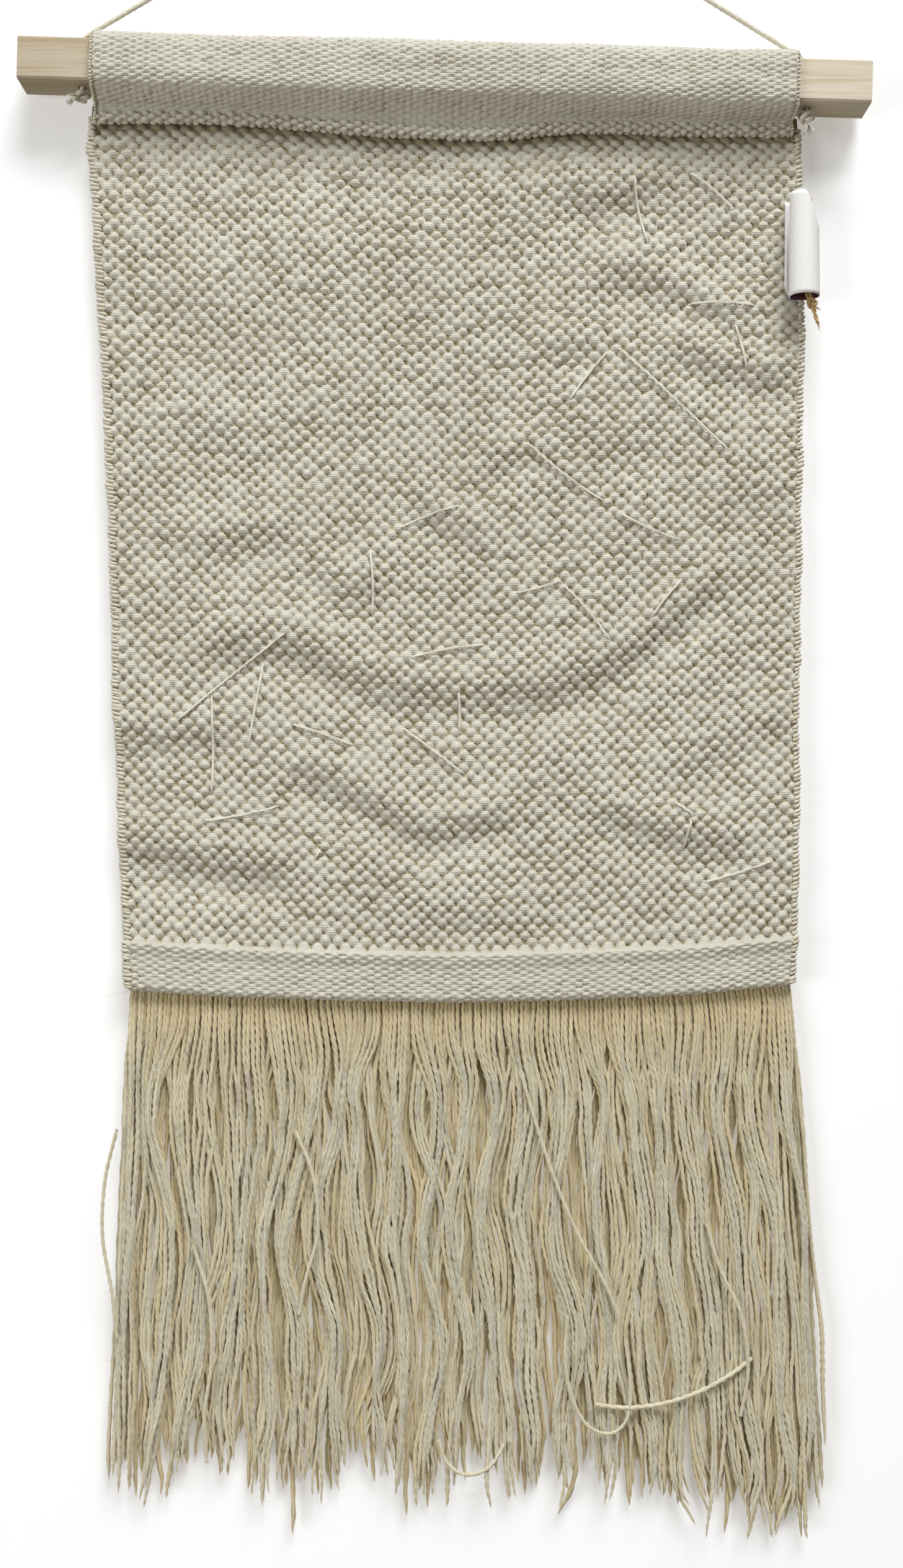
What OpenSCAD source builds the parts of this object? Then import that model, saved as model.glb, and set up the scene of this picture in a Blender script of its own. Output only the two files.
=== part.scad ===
// Tapestry wall hanging: a woven cotton panel on a square wooden batten, with a
// long wool fringe, hung from a nail by a cord through the batten.
// Millimetres. +X is to the viewer's right, +Y goes into the wall and +Z is up.
// The origin is where the cord bears on the nail: the underside of the cord's apex.

/* [Batten] */
// Length of the square wooden batten
batten_len = 364; // [345:1:380]
// Width of each face of the batten
batten_w = 18; // [17:0.5:18.5]
// Bevel along the batten's long edges
edge_bevel = 0.8; // [0.4:0.1:1.5]
// Radius of the two vertical holes that the cord goes through
cord_hole_r = 1.75; // [1.6:0.05:2]
// How far the batten hangs out of level, in degrees, right-hand end low
tilt = 1.65; // [1.5:0.05:1.8]

/* [Cord] */
// Diameter of the hanging cord
cord_d = 2.3; // [1.8:0.1:2.5]
// Radius of the knot under each end of the batten
knot_r = 3.8; // [3:0.1:3.8]

/* [Cloth] */
// Thickness of the woven cloth
cloth_t = 2.6; // [2:0.1:2.6]
// Width of the pocket that is sewn round the batten
pocket_w = 301; // [290:1:302]
// Width of the panel where it leaves the pocket
panel_top_w = 307; // [300:1:310]
// Width of the panel at its hem
panel_hem_w = 289; // [280:1:300]
// How far the hem hangs to the right of the batten's middle
hem_drift = 7; // [0:0.5:8]
// Height of the turned-up hem
hem_h = 18; // [14:1:24]

/* [Fringe] */
// Number of locks that the fringe falls into
lock_count = 15; // [10:1:20]
// Length of the fringe below the hem, on average
fringe_len = 204; // [180:1:215]
// Thickness of the fringe, front to back
fringe_t = 7.2; // [5:0.1:7.2]
// Width of the fringe at its tips
fringe_tip_w = 312; // [300:1:320]

/* [Tag] */
// Length of the curled paper tag
tag_len = 44; // [35:1:50]
// Outer radius of the tag's curl
tag_r = 5.7; // [4:0.1:5.7]
// Thickness of the tag's card
card_t = 0.4; // [0.3:0.05:0.6]

/* [Hidden] */
$fn = 32;
locks = [for (i = [1 : lock_count]) str("fringe_lock_", i)];

// The batten's middle, below the nail
batten_c = [5, 0, -106];
half_w = batten_w / 2;
// The cord's holes, measured along the batten from its middle
hole_reach = 156;
// Room between the batten and the pocket, so that the pocket slides
pocket_gap = 0.4;
pocket_in = half_w + pocket_gap;
pocket_out = pocket_in + cloth_t;
// Where the pocket's front turns under the batten
under_top = -pocket_in - 0.4;
// Where the pocket's two layers meet, below and behind the batten's middle
seam_y = 5;
seam_drop = 22;
// The line that the panel swings about, just under the pocket
swing_drop = seam_drop + 0.4 + cloth_t / 2;
panel_front = seam_y - cloth_t / 2;
panel_back = seam_y + cloth_t / 2;
hem_z = -500;
hem_c = batten_c.x + hem_drift;
hem_left = hem_c - panel_hem_w / 2;
hem_right = hem_c + panel_hem_w / 2;
// The fringe swings about this line, under the hem
fringe_y = 7.5;
fringe_z = -505.5;
// Extra length of the last locks on the right, which hang lower
long_locks = [0, 4, 14, 28, 26];
lock_gap = 0.5;
thread_r = 0.35;
stitch_len = 3.4;
stitch_pitch = 6;
twine_r = 1;
tag_c = [159.5, -4.4];
tag_top = -157;

cream = [0.86, 0.83, 0.76];
wool = [0.90, 0.85, 0.70];
pine = [0.85, 0.76, 0.60];
thread_white = [0.95, 0.95, 0.93];

// The cord's route from knot to knot, as [x, z] points at the batten's middle depth
cord_route = [
    [-151, -113], [-151, -108], [-150.9, -102], [-150.8, -96], [-150.7, -92],
    [-150, -89.7], [-148.4, -87.7],
    [-136, -80.3], [-102, -60.1], [-68, -39.9], [-34, -19.7],
    [-8, -4.2], [-4, -1.1], [-2, 0.5], [0, 1.15], [2, 0.5], [4, -1.1], [8, -3.7],
    [38, -22.5], [72, -43.7], [106, -64.9], [140, -86.1],
    [158.3, -97.5], [160.2, -99.2], [161.1, -101.6],
    [161.1, -106], [160.9, -112], [160.8, -118], [160.7, -122]
];

// Long white stitches lying on the panel's face: [x, z, length, direction]
stitch_list = [
    [90, -162, 31, -78], [121, -154, 27, -40], [125, -203, 29, -2], [133, -221, 21, -76],
    [104, -244, 68, -43], [67, -234, 28, 52], [58, -276, 41, -37], [94, -299, 30, -24],
    [-2, -295, 29, 20], [-27, -323, 29, -88], [45, -325, 22, 15], [66, -336, 33, -50],
    [101, -330, 22, 51], [-87, -364, 61, 39], [-77, -376, 38, 80], [6, -353, 33, 10],
    [11, -379, 18, -89], [-48, -389, 29, -19], [0, -396, 34, -37], [-96, -393, 44, 90],
    [-83, -423, 34, 11], [-50, -441, 6, 60], [109, -421, 12, -33], [110, -432, 14, 76],
    [132, -448, 32, 18]
];

// A point on the batten: u along it, v into the wall, w up from its middle
function on_batten(u, v, w) = batten_c + [
    u * cos(tilt) + w * sin(tilt), v, w * cos(tilt) - u * sin(tilt)
];

// An arc of points round c, from angle a to angle b
function arc(c, r, a, b, n = 6) = [
    for (i = [0 : n]) c + r * [cos(a + (b - a) * i / n), sin(a + (b - a) * i / n)]
];

function mix(a, b, t) = a + (b - a) * t;

module at_batten() {
    translate(batten_c) rotate([0, tilt, 0]) children();
}

// Extrudes a [y, z] outline along X
module along_x(width) {
    rotate([90, 0, 90]) linear_extrude(height = width, center = true) children();
}

// Extrudes an [x, z] outline along Y, from y0 to y1
module along_y(y0, y1) {
    translate([0, y1, 0]) rotate([90, 0, 0]) linear_extrude(height = y1 - y0) children();
}

// Rounds the top of a slab that swings about it: a bar just inside the slab's faces
module round_edge(width, thickness) {
    rotate([0, 90, 0]) cylinder(h = width - 1, r = thickness / 2 - 0.05, center = true);
}

// The same route, with points added so that none is further than step from the next
function refine(route, step) = concat(
    [
        for (i = [0 : len(route) - 2])
            let (parts = ceil(norm(route[i + 1] - route[i]) / step))
            for (j = [0 : parts - 1]) mix(route[i], route[i + 1], j / parts)
    ],
    [route[len(route) - 1]]
);

// A tube of n sides swept along points in the X-Z plane
module sweep_xz(route, r, n = 8) {
    count = len(route);
    rings = [
        for (i = [0 : count - 1])
            let (
                ahead = route[min(i + 1, count - 1)] - route[max(i - 1, 0)],
                side = [-ahead.y, ahead.x] / norm(ahead)
            )
            for (j = [0 : n - 1])
                let (a = 360 * j / n)
                [route[i].x + r * cos(a) * side.x, r * sin(a), route[i].y + r * cos(a) * side.y]
    ];
    walls = [
        for (i = [0 : count - 2], j = [0 : n - 1])
            let (k = (j + 1) % n)
            [i * n + j, i * n + k, (i + 1) * n + k, (i + 1) * n + j]
    ];
    first = [for (j = [n - 1 : -1 : 0]) j];
    last = [for (j = [0 : n - 1]) (count - 1) * n + j];
    polyhedron(rings, concat([first, last], walls));
}

// Running stitches along X, centred on the origin
module running_stitches(width) {
    count = floor(width / stitch_pitch);
    for (i = [0 : count - 1])
        translate([(i - (count - 1) / 2) * stitch_pitch, 0, 0])
            rotate([0, 90, 0]) cylinder(h = stitch_len, r = thread_r, center = true, $fn = 16);
}

// Square bar with eased edges and a vertical hole near each end for the cord
module batten() {
    e = half_w - edge_bevel;
    color(pine) at_batten() difference() {
        along_x(batten_len) polygon([
            [-half_w, -e], [-e, -half_w], [e, -half_w], [half_w, -e],
            [half_w, e], [e, half_w], [-e, half_w], [-half_w, e]
        ]);
        for (side = [-1, 1])
            translate([side * hole_reach, 0, 0]) cylinder(h = batten_w + 2, r = cord_hole_r, center = true);
    }
}

module hanging_cord() {
    color(cream) sweep_xz(refine(cord_route, 3.1 * cord_d), cord_d / 2);
}

// Ball of a tied knot under the batten. Its cut end sticks out, turned down from +Z
// by lean and round to a heading.
module cord_knot(side, lean, heading) {
    centre = on_batten(side * hole_reach, 0, -half_w - knot_r);
    color(cream) translate(centre) {
        sphere(r = knot_r);
        rotate([0, lean, heading]) cylinder(h = knot_r + 4.5, r = 1.6);
    }
}

module cord_knot_left() {
    cord_knot(-1, 110, -126);
}

module cord_knot_right() {
    cord_knot(1, 150, -80);
}

// A stretch of the pocket, the sleeve of cloth round the batten: its [y, z] section
module pocket_stretch(outline) {
    color(cream) at_batten() along_x(pocket_w) polygon(outline);
}

module pocket_front() {
    pocket_stretch([
        [-pocket_out, under_top], [-pocket_in, under_top],
        [-pocket_in, pocket_in], [-pocket_out, pocket_in]
    ]);
}

// Lies on the batten and rolls over its front and back edges
module pocket_top() {
    pocket_stretch(concat(
        arc([-pocket_in, pocket_in], cloth_t, 180, 90),
        arc([pocket_in, pocket_in], cloth_t, 90, 0)
    ));
}

// Down the batten's back and in to the seam
module pocket_back() {
    pocket_stretch([
        [pocket_in, pocket_in], [pocket_in, under_top], [seam_y, -17.6], [seam_y, -seam_drop],
        [seam_y + cloth_t, -seam_drop], [seam_y + cloth_t, -18.4],
        [pocket_out, -10.5], [pocket_out, pocket_in]
    ]);
}

// Turns under the batten, from its front to the seam
module pocket_turn_under() {
    pocket_stretch([
        [-pocket_out, under_top], [-pocket_in, under_top], [seam_y, -17.6],
        [seam_y, -seam_drop], [seam_y - cloth_t, -seam_drop], [seam_y - cloth_t, -19.2],
        [-pocket_out, -11.3]
    ]);
}

module pocket_seam_thread() {
    color(thread_white) at_batten()
        translate([0, seam_y - cloth_t - thread_r, -20.6]) running_stitches(pocket_w - 8);
}

// The main cloth, from the pocket's seam down to the fold of the hem
module panel() {
    top_l = on_batten(-panel_top_w / 2, 0, -swing_drop);
    top_r = on_batten(panel_top_w / 2, 0, -swing_drop);
    color(cream) {
        along_y(panel_front, panel_back) polygon([
            [top_l.x, top_l.z], [top_r.x, top_r.z],
            [hem_right, hem_z + cloth_t], [hem_left, hem_z + cloth_t]
        ]);
        at_batten() translate([0, seam_y, -swing_drop]) round_edge(panel_top_w, cloth_t);
    }
}

// The panel's end folded forward and up, sewn along its top edge
module hem() {
    color(cream) translate([hem_c, 0, 0]) along_x(panel_hem_w) polygon(concat(
        [[panel_front, hem_z + hem_h], [panel_front - cloth_t, hem_z + hem_h]],
        arc([panel_front, hem_z + cloth_t], cloth_t, 180, 360, 12),
        [[panel_front, hem_z + cloth_t]]
    ));
}

module hem_seam_thread() {
    color(thread_white) translate([hem_c, panel_front - cloth_t - thread_r, hem_z + hem_h - 1.5])
        running_stitches(panel_hem_w - 8);
}

module accent_stitches() {
    r = 0.4;
    color(thread_white) for (s = stitch_list)
        translate([s[0], panel_front - r - 0.05, s[1]]) rotate([0, 90 - s[3], 0])
            cylinder(h = s[2], r = r, center = true, $fn = 16);
}

// Tape that holds the tops of the wool yarns, sewn on behind the hem
module fringe_header() {
    color(wool) translate([hem_c, 0, 0]) along_x(panel_hem_w - 4) polygon([
        [panel_back, -499], [9.2, -499], [9.2, -487], [panel_back, -487]
    ]);
}

module fringe_seam_thread() {
    color(thread_white) translate([hem_c, 9.2 + thread_r, -490]) running_stitches(panel_hem_w - 12);
}

// The line between locks k and k + 1, at a depth below the fringe's top
function lock_edge(k, depth) =
    let (
        share = k / lock_count - 0.5,
        width = mix(panel_hem_w - 3, fringe_tip_w, pow(min(depth, 230) / 230, 0.8)),
        sway = sin(depth * 1.4 + k * 67) * min(depth, 120) / 70
    )
    hem_c + share * width + (k == 0 || k == lock_count ? 0 : sway);

function lock_len(i) =
    fringe_len + 5 * sin(i * 77) + long_locks[max(0, i - lock_count + len(long_locks) - 1)];

// A hank of parallel wool yarns: full width from the top, drawn to a blunt tip
module fringe_lock(i) {
    length = lock_len(i);
    gap = lock_gap / 2;
    steps = [0 : 0.1 : 0.91];
    down = [for (s = steps) [lock_edge(i, s * length) - gap, fringe_z - s * length]];
    up = [for (s = steps) [lock_edge(i - 1, s * length) + gap, fringe_z - s * length]];
    tip_x = (lock_edge(i - 1, length) + lock_edge(i, length)) / 2;
    tip = [[tip_x + 4, fringe_z - length], [tip_x - 4, fringe_z - length]];
    rise = [for (j = [len(up) - 1 : -1 : 0]) up[j]];
    top_w = down[0].x - up[0].x;
    color(wool) {
        along_y(fringe_y - fringe_t / 2, fringe_y + fringe_t / 2) polygon(concat(down, tip, rise));
        translate([up[0].x + top_w / 2, fringe_y, fringe_z]) round_edge(top_w, fringe_t);
    }
}

// Card curled into most of a tube, with one edge lying flat beside the selvedge
module hang_tag() {
    back = 90;
    lip = -205;
    flat_w = 9.5;
    color("white") translate([0, 0, tag_top - tag_len]) linear_extrude(height = tag_len)
        polygon(concat(
            [tag_c + [-flat_w, tag_r]],
            arc(tag_c, tag_r, back, lip, 30),
            arc(tag_c, tag_r - card_t, lip, back, 30),
            [tag_c + [-flat_w, tag_r - card_t]]
        ));
}

// Jute twine knotted at the tag's top, down the inside of the curl to a knotted end
module tag_twine() {
    x = tag_c.x + 2;
    knot_top = 1.5;
    color([0.72, 0.58, 0.36]) {
        translate([x, tag_c.y, tag_top - tag_len - 3]) cylinder(h = tag_len + 3, r = twine_r);
        translate([x, tag_c.y, tag_top]) sphere(r = knot_top);
        translate([x, tag_c.y, tag_top - tag_len - 3]) rotate([0, 160, 0]) {
            cylinder(h = 8, r = twine_r + 0.3);
            translate([0, 0, 4]) sphere(r = 2);
        }
    }
}

batten();
hanging_cord();
cord_knot_left();
cord_knot_right();
pocket_front();
pocket_top();
pocket_back();
pocket_turn_under();
pocket_seam_thread();
panel();
hem();
hem_seam_thread();
accent_stitches();
fringe_header();
fringe_seam_thread();
for (i = [1 : lock_count])
    fringe_lock(i);
hang_tag();
tag_twine();
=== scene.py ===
"""The looks of the tapestry wall hanging: woven cloth on a wooden batten, a long wool
fringe, a hanging cord and a curled card tag. Shapes are worked out in millimetres in the
CAD model's own frame, and turned into metres when a mesh is made."""

import math

import bpy
import numpy as np
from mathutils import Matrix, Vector


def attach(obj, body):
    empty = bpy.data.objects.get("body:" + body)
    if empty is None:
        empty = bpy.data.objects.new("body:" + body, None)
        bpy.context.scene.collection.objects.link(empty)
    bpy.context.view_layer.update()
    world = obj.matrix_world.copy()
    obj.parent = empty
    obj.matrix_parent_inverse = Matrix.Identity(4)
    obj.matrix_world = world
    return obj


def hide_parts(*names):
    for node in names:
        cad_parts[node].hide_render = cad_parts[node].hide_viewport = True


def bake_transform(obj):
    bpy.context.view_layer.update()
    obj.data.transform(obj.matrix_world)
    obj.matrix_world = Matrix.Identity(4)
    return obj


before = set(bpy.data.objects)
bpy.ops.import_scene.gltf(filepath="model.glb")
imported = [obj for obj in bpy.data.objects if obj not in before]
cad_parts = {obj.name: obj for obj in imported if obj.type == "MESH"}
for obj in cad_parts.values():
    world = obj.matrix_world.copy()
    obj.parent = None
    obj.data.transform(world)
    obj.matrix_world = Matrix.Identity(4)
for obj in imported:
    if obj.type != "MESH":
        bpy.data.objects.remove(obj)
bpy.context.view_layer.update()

MM = 0.001
TILT = math.radians(1.65)
BATTEN_MIDDLE = np.array([5.0, 0.0, -106.0])
WALL_Y = 13
FLOOR_Z = -1100


# ---------------------------------------------------------------- shapes in numbers

def smooth(t):
    t = np.clip(t, 0, 1)
    return t * t * (3 - 2 * t)


def noise(a, b, seed):
    """Smooth random heights from -1 to 1 over a plane, with one random value per unit."""
    table = np.random.default_rng(seed).uniform(-1, 1, (64, 64))
    a, b = np.broadcast_arrays(np.asarray(a, float), np.asarray(b, float))
    i, j = np.floor(a).astype(int), np.floor(b).astype(int)
    fa, fb = smooth(a - i), smooth(b - j)
    near = table[i % 64, j % 64] * (1 - fb) + table[i % 64, (j + 1) % 64] * fb
    far = table[(i + 1) % 64, j % 64] * (1 - fb) + table[(i + 1) % 64, (j + 1) % 64] * fb
    return near * (1 - fa) + far * fa


def on_batten(u, v, w):
    """Points u along the tilted batten, v into the wall and w up from its middle."""
    u, v, w = np.broadcast_arrays(np.asarray(u, float), np.asarray(v, float), np.asarray(w, float))
    x = u * math.cos(TILT) + w * math.sin(TILT)
    z = w * math.cos(TILT) - u * math.sin(TILT)
    return np.stack([x, v, z], -1) + BATTEN_MIDDLE


def run_along(path):
    """The distance along a path to each of its points."""
    return np.concatenate([[0], np.cumsum(np.linalg.norm(np.diff(path, axis=0), axis=1))])


def through(points, per_mm=2.0):
    """A smooth curve through the points (Catmull-Rom), evenly spaced along its length."""
    p = np.asarray(points, float)
    p = np.vstack([2 * p[0] - p[1], p, 2 * p[-1] - p[-2]])
    out = []
    for k in range(1, len(p) - 2):
        t = np.linspace(0, 1, 24, endpoint=False)[:, None]
        a, b, c, d = p[k - 1], p[k], p[k + 1], p[k + 2]
        out.append(0.5 * (2 * b + (c - a) * t + (2 * a - 5 * b + 4 * c - d) * t**2
                          + (3 * b - a - 3 * c + d) * t**3))
    curve = np.vstack(out + [p[-2][None]])
    run = run_along(curve)
    count = max(3, int(run[-1] * per_mm))
    at = np.linspace(0, run[-1], count)
    return np.stack([np.interp(at, run, curve[:, k]) for k in range(curve.shape[1])], -1)


def grid_quads(rows, columns, start=0):
    """Quads of a grid of points kept row by row."""
    i, j = np.meshgrid(np.arange(rows - 1), np.arange(columns - 1), indexing="ij")
    a = (start + i * columns + j).ravel()
    return np.stack([a, a + 1, a + columns + 1, a + columns], 1)


def around(sides):
    """The angles of a strand's sides. The first and last meet at its back."""
    return math.pi * (0.5 + 1 / sides) + np.arange(sides) * 2 * math.pi / sides


def tube(path, radius, sides=8, lobes=0, period=4.0, lobe=0.2, phase=0.0, across=(0, 1, 0)):
    """A round or twisted strand along a path. Its section has lobes that turn along it, as the
    plies of a yarn do. Returns points, quads and, per point, the place round and along it."""
    path = np.asarray(path, float)
    count = len(path)
    ahead = np.gradient(path, axis=0)
    ahead /= np.linalg.norm(ahead, axis=1)[:, None] + 1e-12
    side = np.cross(ahead, np.array(across, float))
    side /= np.linalg.norm(side, axis=1)[:, None] + 1e-12
    up = np.cross(side, ahead)
    run = run_along(path)
    angle = around(sides)
    r = np.broadcast_to(np.asarray(radius, float), (count,))[:, None] * np.ones(sides)
    if lobes:
        turn = 2 * math.pi * run[:, None] / (period * lobes) + phase
        r = r * (1 - lobe + lobe * np.cos(lobes * (angle[None] - turn)))
    points = (path[:, None] + r[..., None] * (np.cos(angle)[None, :, None] * side[:, None]
                                              + np.sin(angle)[None, :, None] * up[:, None]))
    k = np.arange(sides)
    a = (np.arange(count - 1)[:, None] * sides + k).ravel()
    b = (np.arange(count - 1)[:, None] * sides + (k + 1) % sides).ravel()
    quads = np.stack([a, b, b + sides, a + sides], 1)
    place = np.stack(np.broadcast_arrays(k[None] / sides, run[:, None]), -1)
    return points.reshape(-1, 3), quads, place.reshape(-1, 2)


class Pieces:
    """Gathers many small shapes into one mesh."""

    def __init__(self):
        self.points, self.quads, self.places, self.deep, self.closing = [], [], [], [], []
        self.count = 0

    def add(self, shape, deep=0.0):
        points, quads, places = shape
        self.points.append(points)
        self.quads.append(quads + self.count)
        self.places.append(places)
        self.deep.append(np.broadcast_to(np.asarray(deep, float), (len(points),)))
        self.count += len(points)

    def add_grid(self, shape, deep, rows, columns, turned=False):
        """Adds a grid of rows and columns, and returns the points of its four rims."""
        number = self.count + np.arange(rows * columns).reshape(rows, columns)
        points, quads, places = shape
        self.add((points, quads[:, ::-1] if turned else quads, places), deep)
        return {"first": number[0], "last": number[-1], "left": number[:, 0], "right": number[:, -1]}

    def close(self, a, b):
        """Closes the gap between two rims that run the same way, with triangles."""
        points = np.vstack(self.points)

        def shares(rim):
            run = run_along(points[rim])
            return run / run[-1]

        at_a, at_b = shares(a), shares(b)
        i = j = 0
        while i < len(a) - 1 or j < len(b) - 1:
            if j == len(b) - 1 or (i < len(a) - 1 and at_a[i + 1] <= at_b[j + 1]):
                self.closing.append((a[i], a[i + 1], b[j]))
                i += 1
            else:
                self.closing.append((a[i], b[j + 1], b[j]))
                j += 1

    def build(self, name, material):
        return make_mesh(name, np.vstack(self.points), np.vstack(self.quads), material,
                         np.vstack(self.places), np.concatenate(self.deep), self.closing)


def make_mesh(name, points, quads, material, places=None, deep=None, triangles=()):
    mesh = bpy.data.meshes.new(name)
    points, quads = np.asarray(points, float) * MM, np.asarray(quads, np.int32)
    triangles = np.array(triangles, np.int32).reshape(-1, 3)
    corners = np.concatenate([quads.ravel(), triangles.ravel()])
    starts = np.concatenate([np.arange(0, quads.size, 4), quads.size + np.arange(0, triangles.size, 3)])
    mesh.vertices.add(len(points))
    mesh.vertices.foreach_set("co", points.ravel())
    mesh.loops.add(len(corners))
    mesh.loops.foreach_set("vertex_index", corners)
    mesh.polygons.add(len(starts))
    mesh.polygons.foreach_set("loop_start", starts.astype(np.int32))
    mesh.polygons.foreach_set("use_smooth", np.ones(len(starts), bool))
    if places is not None:
        layer = mesh.uv_layers.new(name="place")
        layer.data.foreach_set("uv", places[corners].astype(np.float32).ravel())
    if deep is not None:
        held = mesh.attributes.new("deep", "FLOAT", "POINT")
        held.data.foreach_set("value", np.asarray(deep, np.float32))
    mesh.update(calc_edges=True)
    mesh.materials.append(material)
    made = bpy.data.objects.new(name, mesh)
    bpy.context.scene.collection.objects.link(made)
    return made


# ---------------------------------------------------------------- materials

def linear(r, g, b):
    """An sRGB colour from 0 to 255, as linear light."""
    def one(c):
        c = c / 255
        return c / 12.92 if c <= 0.04045 else ((c + 0.055) / 1.055) ** 2.4
    return (one(r), one(g), one(b), 1.0)


class Nodes:
    """Short ways to write a material's nodes."""

    def __init__(self, name, roughness, sheen=0.0, specular=0.3):
        self.material = bpy.data.materials.new(name)
        self.material.use_nodes = True
        self.tree = self.material.node_tree
        self.shader = self.tree.nodes["Principled BSDF"]
        self.shader.inputs["Roughness"].default_value = roughness
        self.shader.inputs["Specular IOR Level"].default_value = specular
        if sheen:
            self.shader.inputs["Sheen Weight"].default_value = sheen
            self.shader.inputs["Sheen Roughness"].default_value = 0.6

    def new(self, kind, **values):
        node = self.tree.nodes.new(kind)
        for key, value in values.items():
            setattr(node, key, value)
        return node

    def join(self, out, into):
        self.tree.links.new(out, into)

    def put(self, value, into):
        if isinstance(value, bpy.types.NodeSocket):
            self.join(value, into)
        else:
            into.default_value = value

    def maths(self, kind, a, b=0.0, clamp=False):
        node = self.new("ShaderNodeMath", operation=kind, use_clamp=clamp)
        self.put(a, node.inputs[0])
        self.put(b, node.inputs[1])
        return node.outputs[0]

    def attribute(self, name):
        return self.new("ShaderNodeAttribute", attribute_name=name).outputs["Fac"]

    def place(self):
        node = self.new("ShaderNodeSeparateXYZ")
        self.join(self.new("ShaderNodeUVMap", uv_map="place").outputs[0], node.inputs[0])
        return node.outputs[0], node.outputs[1]

    def cloud(self, scale, detail=3.0, stretch=None, rough=0.55, turn=0.0):
        """Noise over the object, scale per metre, stretched by stretch along X, Y and Z."""
        coords = self.new("ShaderNodeTexCoord").outputs["Object"]
        if stretch:
            fit = self.new("ShaderNodeMapping")
            fit.inputs["Scale"].default_value = stretch
            fit.inputs["Rotation"].default_value = (0, turn, 0)
            self.join(coords, fit.inputs[0])
            coords = fit.outputs[0]
        node = self.new("ShaderNodeTexNoise")
        node.inputs["Scale"].default_value = scale
        node.inputs["Detail"].default_value = detail
        node.inputs["Roughness"].default_value = rough
        self.join(coords, node.inputs["Vector"])
        return node.outputs["Fac"]

    def ramp(self, value, stops):
        node = self.new("ShaderNodeValToRGB")
        while len(node.color_ramp.elements) < len(stops):
            node.color_ramp.elements.new(0.5)
        for element, (at, colour) in zip(node.color_ramp.elements, stops):
            element.position = at
            element.color = colour
        self.put(value, node.inputs[0])
        return node.outputs[0]

    def mix(self, share, a, b, kind="MIX"):
        node = self.new("ShaderNodeMix", data_type="RGBA", blend_type=kind)
        self.put(share, node.inputs[0])
        self.put(a, node.inputs[6])
        self.put(b, node.inputs[7])
        return node.outputs[2]

    def colour(self, value):
        self.put(value, self.shader.inputs["Base Color"])

    def bump(self, height, distance, strength=1.0, under=None):
        node = self.new("ShaderNodeBump")
        node.inputs["Strength"].default_value = strength
        node.inputs["Distance"].default_value = distance
        self.join(height, node.inputs["Height"])
        if under is not None:
            self.join(under, node.inputs["Normal"])
        self.join(node.outputs[0], self.shader.inputs["Normal"])
        return node.outputs[0]


def cloth_material(name):
    """Cotton cloth: cream weft bumps with fine yarn lines. The colour darkens to ochre down in the holes:
    partly the warp's own ochre, partly painted shade.
    """
    m = Nodes(name, 0.95, sheen=0.1, specular=0.12)
    u, v = m.place()
    deep = m.attribute("deep")
    fuzz = m.cloud(1500, 3)
    wander = m.maths("MULTIPLY", m.cloud(330, 3), 5.0)
    weft = m.maths("SINE", m.maths("ADD", m.maths("MULTIPLY", v, 6.6), wander))
    warp = m.maths("SINE", m.maths("ADD", m.maths("MULTIPLY", u, 8.4), wander))
    cream = m.ramp(m.cloud(34, 4), [(0.3, linear(205, 203, 193)), (0.7, linear(213, 212, 203))])
    # Painted shade and the warp's own ochre: the 'deep' attribute darkens the colour from the bumps' tops
    # down into the holes.
    shade = m.ramp(deep, [(0.0, linear(255, 255, 255)), (0.35, linear(253, 252, 249)),
                          (0.7, linear(230, 224, 209)), (1.0, linear(188, 175, 147))])
    lined = m.ramp(m.maths("MULTIPLY_ADD", weft, 0.5), [
        (0.0, linear(246, 244, 239)), (0.6, linear(255, 255, 255))])
    tone = m.mix(1.0, m.mix(1.0, cream, shade, "MULTIPLY"), lined, "MULTIPLY")
    speck = m.ramp(fuzz, [(0.3, linear(238, 236, 228)), (0.62, linear(255, 255, 255))])
    m.colour(m.mix(1.0, tone, speck, "MULTIPLY"))
    lines = m.maths("ADD", m.maths("MULTIPLY", weft, m.maths("SUBTRACT", 1.0, deep)),
                    m.maths("MULTIPLY", warp, deep))
    first = m.bump(lines, 0.00008, 0.6)
    m.bump(fuzz, 0.00025, 0.5, first)
    return m.material


def yarn_material(name, light, dark, roughness=0.92, scale=1.0, sheen=0.25, soft=0.0):
    """Spun yarn: fibres lie round the strand on a slant. The colour mixes towards dark by the 'deep'
    attribute: painted shade inside the fringe's hanks, a set or random tone on other yarns.
    soft is how much light passes through the fibres."""
    m = Nodes(name, roughness, sheen=sheen, specular=0.15)
    m.shader.inputs["Subsurface Weight"].default_value = soft
    m.shader.inputs["Subsurface Radius"].default_value = (1.0, 0.85, 0.55)
    m.shader.inputs["Subsurface Scale"].default_value = 0.0016
    u, v = m.place()
    deep = m.attribute("deep")
    slant = m.maths("ADD", m.maths("MULTIPLY", u, 2 * math.pi * 5), m.maths("MULTIPLY", v, 1.4 / scale))
    wander = m.maths("MULTIPLY", m.cloud(420 / scale, 2), 3.0)
    fibre = m.maths("SINE", m.maths("ADD", slant, wander))
    tone = m.mix(deep, light, dark)
    patch = m.ramp(m.cloud(160, 4), [(0.3, linear(238, 235, 225)), (0.68, linear(255, 255, 255))])
    lined = m.ramp(m.maths("MULTIPLY_ADD", fibre, 0.5), [
        (0.0, linear(243, 240, 229)), (0.5, linear(255, 255, 255))])
    m.colour(m.mix(1.0, m.mix(1.0, tone, patch, "MULTIPLY"), lined, "MULTIPLY"))
    first = m.bump(fibre, 0.00008 * scale, 0.4)
    m.bump(m.cloud(1900, 3), 0.00015, 0.4, first)
    return m.material


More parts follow.
